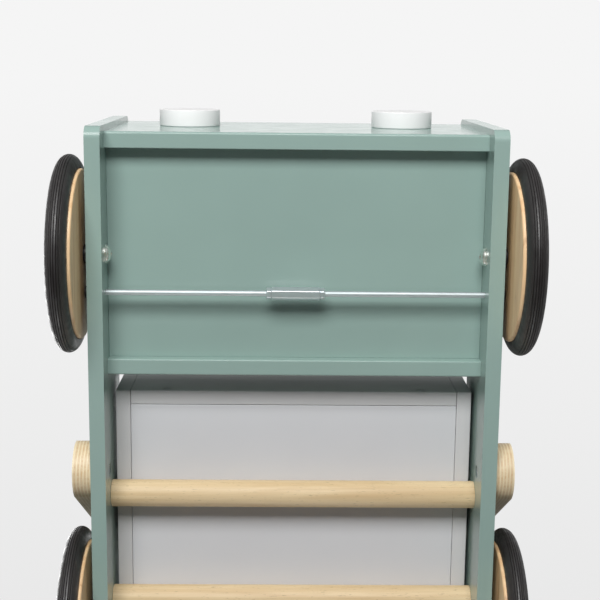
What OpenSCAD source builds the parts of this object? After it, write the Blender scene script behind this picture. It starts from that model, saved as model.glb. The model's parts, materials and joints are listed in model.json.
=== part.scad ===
// Wooden push-along walker truck: an open cab at the front, a lift-out crate
// behind it, four rubber-tyred wheels, a push handle, and a turnbuckle brake.
// The front of the truck faces -Y, it stands on z = 0, and "left" is -X.

/* [Frame] */
// Width over the two side panels
frame_w = 350; // [330:1:380]
// Thickness of the side panels and of the cab's floor
board_t = 13; // [10:0.5:15]
// Thickness of the cab's front and rear walls
wall_t = 14; // [10:0.5:16]
// Length of the side panels
panel_len = 489; // [480:1:500]
// Height of the lower edge of the side panels above the ground
panel_z = 62; // [56:1:66]
// Height of the side panels at the cab
cab_h = 204; // [190:1:220]
// Height of the side panels beside the crate
rail_h = 104; // [98:1:112]
// Length of the cab's level upper edge, from the front
cab_top_len = 62; // [50:1:75]
// Distance from the front end of the side panels to the front wall
front_inset = 5.3; // [3:0.1:6]
// Length of the cab from front wall to rear wall, over both
cab_len = 210; // [200:0.1:215]
// Diameter of the beech bars
bar_d = 24; // [20:1:26]

/* [Headlights] */
// Diameter of a headlight disc
light_d = 55; // [40:0.5:64]
// Thickness of a headlight disc
light_t = 14.8; // [8:0.1:16]
// Distance between the two headlight centres
light_gap = 193.8; // [160:0.1:230]

/* [Wheels] */
// Outer radius of the tyre
tyre_r = 84; // [80:0.5:86]
// Width of the tyre
tyre_w = 17.6; // [16:0.1:20]
// Radius of the wooden wheel disc
disc_r = 72; // [70:0.5:75]
// Thickness of the wooden wheel disc
disc_t = 19; // [18:0.5:24]
// Distance between the front and rear axles
wheelbase = 333; // [326:0.5:336]
// Diameter of the axle bolts
axle_d = 8; // [6:0.5:8]
// Length of the spacer between panel and wheel
spacer_len = 4.6; // [4:0.1:9]

/* [Handle] */
// Width of a handle arm
arm_w = 50; // [40:1:54]
// Thickness of a handle arm
arm_t = 16.5; // [15:0.5:20]
// Distance from the lower bolt to the handle bar, along the arm
arm_len = 394; // [370:1:400]
// Lean of the arms towards the rear
arm_lean = 30; // [15:1:32]
// Distance between the two bolts of an arm
arm_bolt_gap = 62; // [50:1:66]

/* [Brake] */
// Diameter of the threaded brake rods
rod_d = 5; // [4:0.5:6]
// Length of the hexagonal sleeve
sleeve_len = 41.5; // [34:0.5:50]
// Width of the sleeve across its flats
sleeve_af = 10; // [9:0.5:12]
// Gap between a brake pad and its wheel disc at rest
pad_gap = 0.7; // [0.6:0.1:1.2]

/* [Crate] */
// Length of the crate
crate_len = 237.4; // [225:0.1:240]
// Thickness of the crate's boards
crate_t = 13; // [10:0.5:15]
// Height of the crate
crate_h = 120; // [90:1:140]
// Gap between the crate and each side panel
crate_gap = 2.7; // [1:0.1:4]
// Gap between the crate and the cab's rear wall
finger_gap = 21.2; // [15:0.1:26]

/* [Hidden] */
$fn = 96;
eps = 0.01;

// Fits, all as radial clearance
run_fit = 0.06;      // a shaft that turns or slides in its hole
rest_gap = 0.3;      // crate above the bars that carry it

// Places across the truck, from the middle plane outwards
panel_out = frame_w / 2;
panel_in = panel_out - board_t;
spacer_out = panel_out + spacer_len;
disc_in = spacer_out + 0.4;
disc_out = disc_in + disc_t;
tyre_in = disc_in + 2.6;
arm_out = panel_out + arm_t;

// Places along the truck: the headlights and the rear tyres are its two ends
total_len = light_t - front_inset + panel_axle() + wheelbase + tyre_r;
front_y = -total_len / 2 + light_t - front_inset;   // front end of the panels
wall_y = front_y + front_inset;                     // outer face of the front wall
cab_back_y = wall_y + cab_len;                      // rear face of the cab's rear wall
front_axle_y = front_y + panel_axle();
rear_axle_y = front_axle_y + wheelbase;
rod_y = front_axle_y + 33.1;
crate_y = cab_back_y + finger_gap;
arm_y = front_axle_y + 193.25;
bar_front_y = arm_y + 26.5;
bar_rear_y = bar_front_y + 100;
function panel_axle() = 108.5;   // from the front end of a panel to the front axle

// Heights
axle_z = tyre_r;
rod_z = axle_z;
front_wall_z = panel_z + 25;
cab_floor_z = panel_z + 38;
cab_back_z = panel_z + 27;
cab_back_h = 89;
bar_z = panel_z + 43;
arm_z = panel_z + 29;
light_z = panel_z + 128;
crate_z = bar_z + bar_d / 2 + rest_gap;
crate_out = panel_in - crate_gap;

// Screws and bolts
screw_r = 2.5;
screw_head_r = 4;
screw_head_t = 4;
screw_len = 45;
arm_bolt_r = 3;
arm_bolt_head_r = 7.5;
arm_bolt_head_t = 3;
insert_r = 5.5;
insert_len = 9;
insert_inset = 1;
axle_head_r = 7.3;
axle_head_t = 4;
washer_r = 8;
washer_t = 1.2;
nut_t = 6;
nut_af = 13;
hub_bush_r = 6;
hub_pocket_r = 14;
hub_pocket_t = 9;
cap_r = 19;
cap_t = 6;
pad_r = 5.2;
pad_t = 4;
crate_screw_x = 114;
crate_screw_len = 30;

// [y, z] of each screw that goes through a side panel into a wall, floor or bar
PANEL_SCREWS = [
    [wall_y + wall_t / 2, front_wall_z + 43],
    [wall_y + wall_t / 2, front_wall_z + 139],
    [wall_y + 70, cab_floor_z + board_t / 2],
    [wall_y + 150, cab_floor_z + board_t / 2],
    [cab_back_y - wall_t / 2, cab_back_z + 23],
    [cab_back_y - wall_t / 2, cab_back_z + 65],
    [bar_front_y, bar_z],
    [bar_rear_y, bar_z]
];
// Distances of the two bolts up a handle arm
ARM_BOLTS = [0, arm_bolt_gap];
AXLES = [front_axle_y, rear_axle_y];
SIDES = [-1, 1];

// A round bar along X from x0 to x1, for x0 below x1
module bar_x(x0, x1, y, z, r) {
    translate([x0, y, z]) rotate([0, 90, 0]) cylinder(h = x1 - x0, r = r);
}

// The same bar on one side of the truck, from a to b out from the middle plane
module side_bar(side, a, b, y, z, r) {
    bar_x(side < 0 ? -b : a, side < 0 ? -a : b, y, z, r);
}

// A hexagonal bar on one side of the truck, with two of its flats level
module side_hex(side, a, b, y, z, af) {
    translate([side < 0 ? -b : a, y, z]) rotate([30, 0, 0]) rotate([0, 90, 0])
        cylinder(h = b - a, r = af / sqrt(3), $fn = 6);
}

// A board given by its lowest corner and its size
module board(corner, size) {
    translate(corner) cube(size);
}

// Points of an outline whose corners [y, z, radius] are rounded by arcs
function arc_steps(radius) = max(4, ceil(radius / 3));
function corner_arc(a, b, c, r) =
    let (u = (a - b) / norm(a - b), v = (c - b) / norm(c - b),
         half = acos(u * v) / 2, reach = r / tan(half),
         mid = (u + v) / norm(u + v), centre = b + mid * r / sin(half),
         start = b + u * reach - centre, finish = b + v * reach - centre,
         turn = acos(max(-1, min(1, (start * finish) / (r * r)))),
         n = arc_steps(r))
    [for (i = [0:n]) centre
        + start * sin(turn * (1 - i / n)) / sin(turn)
        + finish * sin(turn * i / n) / sin(turn)];
function rounded(corners) =
    let (n = len(corners), p = [for (c = corners) [c[0], c[1]]])
    [for (i = [0:n - 1]) each corner_arc(p[(i + n - 1) % n], p[i], p[(i + 1) % n],
                                         corners[i][2])];

// Side panel seen from the side: tall at the cab, low beside the crate
function panel_corners() = [
    [front_y, panel_z, 10],
    [front_y, panel_z + cab_h, 13],
    [front_y + cab_top_len, panel_z + cab_h, 42],
    [cab_back_y - 14, panel_z + rail_h, 42],
    [front_y + panel_len, panel_z + rail_h, 40],
    [front_y + panel_len, panel_z, 24]
];

module panel_screw_set() {
    for (s = SIDES) for (p = PANEL_SCREWS) {
        side_bar(s, panel_out - screw_head_t, panel_out, p[0], p[1], screw_head_r);
        side_bar(s, panel_out - screw_len, panel_out - screw_head_t + eps,
                 p[0], p[1], screw_r);
    }
}

// Place of a point that lies at distance d up the arm's centre line
function arm_point(d) = [arm_y + d * sin(arm_lean), arm_z + d * cos(arm_lean)];

module side_panel(s) {
    color([0.52, 0.64, 0.61]) difference() {
        translate([s < 0 ? -panel_out : panel_in, 0, 0]) rotate([90, 0, 90])
            linear_extrude(height = board_t) polygon(rounded(panel_corners()));
        panel_screw_set();
        for (y = AXLES)
            side_bar(s, panel_in - 1, panel_out + 1, y, axle_z, axle_d / 2);
        side_bar(s, panel_in - 1, panel_out + 1, rod_y, rod_z, rod_d / 2 + run_fit);
        for (d = ARM_BOLTS) {
            side_bar(s, panel_in - 1, panel_out + 1,
                     arm_point(d)[0], arm_point(d)[1], arm_bolt_r);
            side_bar(s, panel_in - 1, panel_in + insert_inset + insert_len,
                     arm_point(d)[0], arm_point(d)[1], insert_r);
        }
    }
}

module front_wall() {
    color([0.52, 0.64, 0.61]) difference() {
        board([-panel_in, wall_y, front_wall_z],
              [2 * panel_in, wall_t, panel_z + cab_h - front_wall_z]);
        panel_screw_set();
    }
}

module cab_floor() {
    color([0.52, 0.64, 0.61]) difference() {
        board([-panel_in, wall_y + wall_t, cab_floor_z],
              [2 * panel_in, cab_len - 2 * wall_t, board_t]);
        panel_screw_set();
    }
}

module cab_rear_wall() {
    color([0.52, 0.64, 0.61]) difference() {
        board([-panel_in, cab_back_y - wall_t, cab_back_z],
              [2 * panel_in, wall_t, cab_back_h]);
        panel_screw_set();
    }
}

module headlight(s) {
    rim = 0.8;
    color([0.96, 0.96, 0.95])
        translate([s * light_gap / 2, wall_y, light_z]) rotate([90, 0, 0]) rotate_extrude()
            polygon([[0, 0], [light_d / 2, 0], [light_d / 2, light_t - rim],
                     [light_d / 2 - rim, light_t], [0, light_t]]);
}

module cross_bar(y) {
    color([0.84, 0.75, 0.6]) difference() {
        bar_x(-panel_in, panel_in, y, bar_z, bar_d / 2);
        panel_screw_set();
    }
}

module handle_arm(s) {
    end_r = arm_w / 2 - eps;
    low = -arm_w / 2;
    high = arm_len + arm_w / 2;
    color([0.87, 0.82, 0.69]) difference() {
        translate([s < 0 ? -arm_out : panel_out, arm_y, arm_z]) rotate([-arm_lean, 0, 0])
            rotate([90, 0, 90]) linear_extrude(height = arm_t)
                polygon(rounded([[-arm_w / 2, low, end_r], [-arm_w / 2, high, end_r],
                                 [arm_w / 2, high, end_r], [arm_w / 2, low, end_r]]));
        for (d = ARM_BOLTS)
            side_bar(s, panel_out - 1, arm_out + 1, arm_point(d)[0], arm_point(d)[1],
                     arm_bolt_r);
        handle_bar_screw(s);
    }
}

module handle_bar_screw(s) {
    p = arm_point(arm_len);
    side_bar(s, arm_out - screw_head_t, arm_out, p[0], p[1], 1.5 * screw_head_r);
    side_bar(s, arm_out - 1.2 * screw_len, arm_out - screw_head_t + eps,
             p[0], p[1], screw_r);
}

module handle_bar_screws() {
    color([0.75, 0.76, 0.78]) for (s = SIDES) handle_bar_screw(s);
}

module handle_bar() {
    p = arm_point(arm_len);
    color([0.84, 0.75, 0.6]) difference() {
        bar_x(-panel_out, panel_out, p[0], p[1], bar_d / 2);
        for (s = SIDES) handle_bar_screw(s);
    }
}

module handle_arm_bolts() {
    color([0.75, 0.76, 0.78]) for (s = SIDES) for (d = ARM_BOLTS) {
        p = arm_point(d);
        side_bar(s, arm_out, arm_out + arm_bolt_head_t, p[0], p[1], arm_bolt_head_r);
        side_bar(s, panel_in + insert_inset + 1, arm_out + eps, p[0], p[1], arm_bolt_r);
    }
}

module handle_arm_nuts() {
    color([0.75, 0.76, 0.78]) for (s = SIDES) for (d = ARM_BOLTS) {
        p = arm_point(d);
        difference() {
            side_bar(s, panel_in + insert_inset, panel_in + insert_inset + insert_len,
                     p[0], p[1], insert_r);
            side_bar(s, panel_in, panel_out, p[0], p[1], arm_bolt_r);
        }
    }
}

module panel_screws() {
    color([0.75, 0.76, 0.78]) panel_screw_set();
}

// Dome-headed axle bolt: its head is inside the panel, its nut inside the hub cap
module axle_bolts() {
    head_in = panel_in - washer_t;
    color([0.8, 0.81, 0.83]) for (s = SIDES) for (y = AXLES) {
        side_bar(s, head_in - eps, disc_out - 0.6, y, axle_z, axle_d / 2);
        translate([s * head_in, y, axle_z]) rotate([0, -90 * s, 0])
            rotate_extrude() polygon(concat([[0, 0]], [for (i = [0:8])
                [axle_head_r * cos(i * 11.25), axle_head_t * sin(i * 11.25)]]));
    }
}

module axle_ring(s, y, a, b, r) {
    difference() {
        side_bar(s, a, b, y, axle_z, r);
        side_bar(s, a - 1, b + 1, y, axle_z, axle_d / 2);
    }
}

module axle_washers() {
    nut_face = disc_out - hub_pocket_t + 0.15;
    color([0.8, 0.81, 0.83]) for (s = SIDES) for (y = AXLES) {
        axle_ring(s, y, panel_in - washer_t, panel_in, washer_r);
        axle_ring(s, y, nut_face, nut_face + washer_t, washer_r);
    }
}

module axle_spacers() {
    color([0.12, 0.12, 0.13]) for (s = SIDES) for (y = AXLES)
        axle_ring(s, y, panel_out, spacer_out, washer_r + 0.25);
}

module axle_nuts() {
    nut_face = disc_out - hub_pocket_t + 0.15 + washer_t;
    color([0.8, 0.81, 0.83]) for (s = SIDES) for (y = AXLES) difference() {
        side_hex(s, nut_face, nut_face + nut_t, y, axle_z, nut_af);
        side_bar(s, panel_in, disc_out + 1, y, axle_z, axle_d / 2);
    }
}

// Half of the wheel's section is drawn as [radius, distance out from the panel side]
module wheel_turned(s, y, section) {
    translate([0, y, axle_z]) rotate([0, 90 * s, 0]) rotate_extrude($fn = 128)
        polygon(section);
}

// Tyre: a round section with fine grooves along the middle of the tread
groove_n = 5;
groove_pitch = 2;
groove_half = 0.45;
groove_depth = 0.9;
tyre_mid = tyre_in + tyre_w / 2;
tyre_foot = disc_r + 0.6;
function tread_r(x) =
    tyre_foot + (tyre_r - tyre_foot) * sqrt(1 - pow(x / (tyre_w / 2), 2));
function tyre_top() =
    let (smooth = [for (t = [0:9:54]) tyre_w / 2 * cos(t)])
    concat(
        [for (x = smooth) [tread_r(x), tyre_mid - x]],
        [for (g = [0:groove_n - 1])
            let (x = (g - (groove_n - 1) / 2) * groove_pitch) each
            [[tread_r(x - groove_half), tyre_mid + x - groove_half],
             [tread_r(x) - groove_depth, tyre_mid + x],
             [tread_r(x + groove_half), tyre_mid + x + groove_half]]],
        [for (i = [1:len(smooth)]) let (x = smooth[len(smooth) - i])
            [tread_r(x), tyre_mid + x]]
    );

module tyre(s, y) {
    color([0.2, 0.2, 0.2]) wheel_turned(s, y, concat(
        [[disc_r, tyre_in + tyre_w - 0.6], [disc_r, tyre_in + 0.6]], tyre_top()));
}

module wheel_disc(s, y) {
    rim = 3;
    color([0.8, 0.69, 0.52]) wheel_turned(s, y, [
        [hub_bush_r, disc_in], [disc_r - rim, disc_in], [disc_r, disc_in + rim],
        [disc_r, disc_out - rim], [disc_r - rim, disc_out], [hub_pocket_r, disc_out],
        [hub_pocket_r, disc_out - hub_pocket_t], [hub_bush_r, disc_out - hub_pocket_t]]);
}

module hub_bush(s, y) {
    color([0.2, 0.2, 0.21]) wheel_turned(s, y, [
        [axle_d / 2 + run_fit, spacer_out + 0.1], [hub_bush_r, spacer_out + 0.1],
        [hub_bush_r, disc_out - hub_pocket_t], [axle_d / 2 + run_fit, disc_out - hub_pocket_t]]);
}

module hub_cap(s, y) {
    wall = 1.8;
    color([0.96, 0.96, 0.95]) wheel_turned(s, y, [
        [0, disc_out + cap_t], [0, disc_out + cap_t - wall],
        [hub_pocket_r - wall, disc_out + cap_t - wall], [hub_pocket_r - wall, disc_out - 4],
        [hub_pocket_r, disc_out - 4], [hub_pocket_r, disc_out], [cap_r, disc_out],
        [cap_r, disc_out + 2], [cap_r - 5, disc_out + cap_t]]);
}

// The brake: two rods screwed into one sleeve with opposite threads
pad_face = disc_in - pad_gap;
rod_inner = 5;                   // the rods end this far from the middle of the sleeve
lock_nut_t = 4.1;
lock_gap = 0.1;

module brake_sleeve() {
    color([0.72, 0.74, 0.77]) difference() {
        side_hex(1, -sleeve_len / 2, sleeve_len / 2, rod_y, rod_z, sleeve_af);
        bar_x(-sleeve_len, sleeve_len, rod_y, rod_z, rod_d / 2 + run_fit);
    }
}

module brake_rod(s) {
    color([0.8, 0.82, 0.85])
        side_bar(s, rod_inner, pad_face - 1, rod_y, rod_z, rod_d / 2);
}

module lock_nut(s) {
    start = sleeve_len / 2 + lock_gap;
    color([0.72, 0.74, 0.77]) difference() {
        side_hex(s, start, start + lock_nut_t, rod_y, rod_z, sleeve_af - 1);
        side_bar(s, start - 1, start + lock_nut_t + 1, rod_y, rod_z, rod_d / 2);
    }
}

module brake_pad(s) {
    color([0.14, 0.14, 0.15]) difference() {
        side_bar(s, pad_face - pad_t, pad_face, rod_y, rod_z, pad_r);
        side_bar(s, 0, pad_face - 1, rod_y, rod_z, rod_d / 2);
    }
}

// The crate: four boards round a floor that lies flush with their lower edges
crate_in_y = crate_y + crate_t;
crate_back_y = crate_y + crate_len;

module crate_screw_set() {
    for (s = SIDES) for (y = [crate_y + crate_t / 2, crate_back_y - crate_t / 2])
        for (z = [crate_z + 34, crate_z + crate_h - 24]) {
            side_bar(s, crate_out - screw_head_t, crate_out, y, z, screw_head_r);
            side_bar(s, crate_out - crate_screw_len, crate_out - screw_head_t + eps,
                     y, z, screw_r);
        }
    for (s = SIDES) for (back = [0, 1])
        translate([s * crate_screw_x, back ? crate_back_y : crate_y, crate_z + crate_t / 2])
            rotate([back ? 90 : -90, 0, 0]) {
                translate([0, 0, 1]) cylinder(h = screw_head_t, r = screw_head_r);
                translate([0, 0, 1]) cylinder(h = crate_screw_len, r = screw_r);
            }
}

// The recess in which the head of a floor screw lies
module crate_floor_screw_mouths() {
    for (s = SIDES) for (y = [crate_y - 1, crate_back_y - 1])
        translate([s * crate_screw_x, y + 2, crate_z + crate_t / 2]) rotate([90, 0, 0])
            cylinder(h = 2, r = screw_head_r);
}

module crate_side(s) {
    color([0.72, 0.72, 0.73]) difference() {
        board([s < 0 ? -crate_out : crate_out - crate_t, crate_y, crate_z],
              [crate_t, crate_len, crate_h]);
        crate_screw_set();
    }
}

module crate_end(y) {
    half = crate_out - crate_t;
    color([0.72, 0.72, 0.73]) difference() {
        board([-half, y, crate_z], [2 * half, crate_t, crate_h]);
        crate_screw_set();
        crate_floor_screw_mouths();
    }
}

module crate_floor() {
    half = crate_out - crate_t;
    color([0.76, 0.76, 0.77]) difference() {
        board([-half, crate_in_y, crate_z], [2 * half, crate_len - 2 * crate_t, crate_t]);
        crate_screw_set();
    }
}

module crate_screws() {
    color([0.6, 0.61, 0.63]) crate_screw_set();
}

side_panel(-1);  // side_panel_left
side_panel(1);  // side_panel_right
front_wall();
cab_floor();
cab_rear_wall();
headlight(-1);  // headlight_left
headlight(1);  // headlight_right
cross_bar(bar_front_y);  // cross_bar_front
cross_bar(bar_rear_y);  // cross_bar_rear
handle_arm(-1);  // handle_arm_left
handle_arm(1);  // handle_arm_right
handle_bar();
handle_bar_screws();
handle_arm_bolts();
handle_arm_nuts();
panel_screws();
axle_bolts();
axle_washers();
axle_spacers();
axle_nuts();
tyre(-1, front_axle_y);  // tyre_front_left
tyre(1, front_axle_y);  // tyre_front_right
tyre(-1, rear_axle_y);  // tyre_rear_left
tyre(1, rear_axle_y);  // tyre_rear_right
wheel_disc(-1, front_axle_y);  // wheel_disc_front_left
wheel_disc(1, front_axle_y);  // wheel_disc_front_right
wheel_disc(-1, rear_axle_y);  // wheel_disc_rear_left
wheel_disc(1, rear_axle_y);  // wheel_disc_rear_right
hub_bush(-1, front_axle_y);  // hub_bush_front_left
hub_bush(1, front_axle_y);  // hub_bush_front_right
hub_bush(-1, rear_axle_y);  // hub_bush_rear_left
hub_bush(1, rear_axle_y);  // hub_bush_rear_right
hub_cap(-1, front_axle_y);  // hub_cap_front_left
hub_cap(1, front_axle_y);  // hub_cap_front_right
hub_cap(-1, rear_axle_y);  // hub_cap_rear_left
hub_cap(1, rear_axle_y);  // hub_cap_rear_right
brake_sleeve();
brake_rod(-1);  // brake_rod_left
brake_rod(1);  // brake_rod_right
brake_pad(-1);  // brake_pad_left
brake_pad(1);  // brake_pad_right
lock_nut(-1);  // lock_nut_left
lock_nut(1);  // lock_nut_right
crate_side(-1);  // crate_side_left
crate_side(1);  // crate_side_right
crate_end(crate_y);  // crate_front_board
crate_end(crate_back_y - crate_t);  // crate_rear_board
crate_floor();
crate_screws();
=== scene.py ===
"""Looks of the wooden push-along truck: green cab, grey crate, wooden wheels with rubber tyres.

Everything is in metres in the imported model's frame: the front faces -Y, the ground is z = 0
and "left" is -X.  The camera looks up at the underside, so the ground is seen through from below.
"""
import json
import math

import bmesh
import bpy
from mathutils import Matrix, Vector

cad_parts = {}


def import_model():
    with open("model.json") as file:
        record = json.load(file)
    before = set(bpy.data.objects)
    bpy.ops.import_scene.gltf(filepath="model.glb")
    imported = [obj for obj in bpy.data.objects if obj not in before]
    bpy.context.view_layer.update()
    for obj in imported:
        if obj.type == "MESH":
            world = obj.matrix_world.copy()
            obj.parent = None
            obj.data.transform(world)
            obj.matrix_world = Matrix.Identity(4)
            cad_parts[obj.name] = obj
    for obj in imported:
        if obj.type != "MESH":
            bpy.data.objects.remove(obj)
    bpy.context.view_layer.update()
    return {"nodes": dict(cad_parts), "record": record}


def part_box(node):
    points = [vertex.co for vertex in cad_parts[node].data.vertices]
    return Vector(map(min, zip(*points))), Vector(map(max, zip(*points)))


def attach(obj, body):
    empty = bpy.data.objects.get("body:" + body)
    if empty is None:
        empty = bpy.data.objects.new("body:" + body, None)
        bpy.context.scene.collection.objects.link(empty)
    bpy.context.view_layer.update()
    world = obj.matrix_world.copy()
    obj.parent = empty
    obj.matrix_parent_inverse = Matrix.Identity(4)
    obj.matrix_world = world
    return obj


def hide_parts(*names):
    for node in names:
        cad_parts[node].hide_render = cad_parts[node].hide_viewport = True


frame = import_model()

MM = 0.001
SIDES = {"left": -1, "right": 1}
AXLES = ("front", "rear")


# ---------------------------------------------------------------- places, from the frame
def low(node):
    """The corner of a node's box with the lowest x, y and z."""
    return Vector(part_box(node)[0])


def high(node):
    """The corner of a node's box with the highest x, y and z."""
    return Vector(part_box(node)[1])


def centre(node):
    return (low(node) + high(node)) / 2


def reach(node):
    """How far a node lies from the middle plane: its inner and its outer distance."""
    return sorted((abs(low(node).x), abs(high(node).x)))


JOINTS = {j["name"]: j for j in frame["record"]["behaviour"]["joints"]}
PANEL_OUT = high("side_panel_right").x
PANEL_IN = low("side_panel_right").x
ROD_Y, ROD_Z = JOINTS["brake_turn"]["pos_m"][1:]
AXLE_AT = {e: JOINTS[f"wheel_{e}_left_spin"]["pos_m"][1:] for e in AXLES}


# ---------------------------------------------------------------- node graphs
class Nodes:
    """The node tree of a material or world, built up step by step."""

    def __init__(self, owner):
        owner.use_nodes = True
        self.tree = owner.node_tree
        self.tree.nodes.clear()

    def add(self, kind, **settings):
        node = self.tree.nodes.new("ShaderNode" + kind)
        for name, value in settings.items():
            setattr(node, name, value)
        return node

    def put(self, socket, value):
        """Feeds a socket from another socket, a colour or a plain value."""
        if isinstance(value, bpy.types.NodeSocket):
            self.tree.links.new(value, socket)
        elif isinstance(value, tuple) and len(value) == 3 and socket.type == "RGBA":
            socket.default_value = (*value, 1.0)
        else:
            socket.default_value = value

    def put_all(self, node, **values):
        """Feeds inputs by name, where an underscore stands for a space."""
        for name, value in values.items():
            self.put(node.inputs[name.replace("_", " ")], value)

    def math(self, operation, a, b=0.0, clamp=False):
        node = self.add("Math", operation=operation, use_clamp=clamp)
        self.put(node.inputs[0], a)
        self.put(node.inputs[1], b)
        return node.outputs[0]

    def span(self, value, low_in, high_in, low_out=0.0, high_out=1.0, ease="SMOOTHSTEP"):
        """Maps low_in..high_in to low_out..high_out, with soft ends unless ease is LINEAR."""
        node = self.add("MapRange", interpolation_type=ease)
        for i, v in enumerate((value, low_in, high_in, low_out, high_out)):
            self.put(node.inputs[i], v)
        return node.outputs[0]

    def mix(self, factor, a, b):
        """Mixes two colours; a colour Mix node keeps them in sockets 6 and 7."""
        node = self.add("Mix", data_type="RGBA")
        for i, v in ((0, factor), (6, a), (7, b)):
            self.put(node.inputs[i], v)
        return node.outputs[2]

    def show(self, factor, first, second, output):
        """Ends the tree in a mix of two shaders."""
        mixer = self.add("MixShader")
        for i, v in enumerate((factor, first, second)):
            self.put(mixer.inputs[i], v)
        self.put(self.add(output).inputs[0], mixer.outputs[0])


COAT_ROUGHNESS = 0.08


class Finish(Nodes):
    """A material whose Principled shader is fed by procedural nodes in object coordinates."""

    def __init__(self, name, roughness, metallic=0.0, coat=0.0, specular=0.5):
        self.material = bpy.data.materials.new(name)
        super().__init__(self.material)
        self.shader = self.add("BsdfPrincipled")
        self.put(self.add("OutputMaterial").inputs[0], self.shader.outputs[0])
        self.put_all(self.shader, Roughness=roughness, Metallic=metallic, Coat_Weight=coat,
                     Coat_Roughness=COAT_ROUGHNESS, Specular_IOR_Level=specular)
        self.coords = self.add("TexCoord").outputs["Object"]

    def noise(self, scale, detail=3.0, roughness=0.55, distortion=0.0, shift=(0.0, 0.0, 0.0)):
        """Noise whose scale is in cycles a metre, one for all axes or one for each."""
        scale = (scale,) * 3 if isinstance(scale, (int, float)) else scale
        stretch = self.add("Mapping")
        self.put_all(stretch, Vector=self.coords, Scale=scale, Location=shift)
        node = self.add("TexNoise")
        self.put_all(node, Vector=stretch.outputs[0], Scale=1.0, Detail=detail,
                     Roughness=roughness, Distortion=distortion)
        return node.outputs[0]

    def axis(self, index):
        node = self.add("SeparateXYZ")
        self.put(node.inputs[0], self.coords)
        return node.outputs[index]

    def colour(self, value):
        self.put_all(self.shader, Base_Color=value)

    def roughness(self, value):
        self.put_all(self.shader, Roughness=value)

    def bump(self, height, distance, strength):
        node = self.add("Bump")
        self.put_all(node, Height=height, Distance=distance, Strength=strength)
        self.put_all(self.shader, Normal=node.outputs[0])


def srgb(r, g, b):
    """A colour given as 0-255 screen values, made linear."""
    def linear(v):
        v /= 255
        return v / 12.92 if v <= 0.04045 else ((v + 0.055) / 1.055) ** 2.4
    return (linear(r), linear(g), linear(b))


def shade(colour, factor):
    """The same colour, lighter or darker."""
    return tuple(min(1.0, c * factor) for c in colour)


def paint(name, colour, roughness, variation=0.02, specular=0.5):
    """Sprayed paint: faint clouding and slightly uneven gloss."""
    cloud_scale, gloss_scale, detail, uneven = 9.0, 40.0, 2.0, 0.02
    f = Finish(name, roughness, specular=specular)
    clouds = f.span(f.noise(cloud_scale, detail), 0.3, 0.7)
    f.colour(f.mix(clouds, shade(colour, 1 - variation), shade(colour, 1 + variation)))
    f.roughness(f.span(f.noise(gloss_scale, detail), 0.25, 0.75,
                       roughness - uneven, roughness + uneven))
    return f.material


def grain_scale(along, across, axis):
    """Noise scales, in cycles a metre, that draw a pattern out along one axis."""
    return tuple(along if i == axis else across for i in range(3))


WOOD_ROUGHNESS = 0.5
STREAK_SHIFT = (3.1, 7.7, 1.9)
FINE_RELIEF = 0.05 * MM


def wood(name, light, dark, axis, fleck=0.0, streak=None, coat=0.0):
    """Lacquered wood whose grain runs along one axis (0 x, 1 y, 2 z)."""
    f = Finish(name, WOOD_ROUGHNESS, coat=coat)
    rings = f.noise(grain_scale(5.0, 110.0, axis), detail=4.0, roughness=0.6, distortion=0.6)
    fibres = f.noise(grain_scale(22.0, 1500.0, axis), roughness=0.7)
    base = f.mix(f.span(rings, 0.3, 0.72), light, dark)
    base = f.mix(f.span(fibres, 0.3, 0.75, 0.0, 0.22), base, shade(dark, 0.72))
    if fleck:
        # Short dark pores, as in beech
        spots = f.noise(grain_scale(150.0, 1300.0, axis), detail=2.0, roughness=0.5)
        base = f.mix(f.span(spots, 0.63, 0.72, 0.0, fleck), base, shade(dark, 0.45))
    if streak:
        # Long patches of another colour, as beside knots
        knots = f.noise(grain_scale(9.0, 60.0, axis), roughness=0.5, distortion=1.2,
                        shift=STREAK_SHIFT)
        base = f.mix(f.span(knots, 0.56, 0.74, 0.0, 0.6), base, streak)
    f.colour(base)
    f.roughness(f.span(fibres, 0.2, 0.8, WOOD_ROUGHNESS - 0.06, WOOD_ROUGHNESS + 0.1))
    f.bump(fibres, FINE_RELIEF, strength=0.5)
    return f.material


PLY_PITCH = 2.85 * MM
PLY_WANDER = 2.6 * MM
PLY_RELIEF = 0.06 * MM
PLY_ROUGHNESS = 0.48
FACE_PLY = (0.9 * MM, 1.3 * MM)


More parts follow.
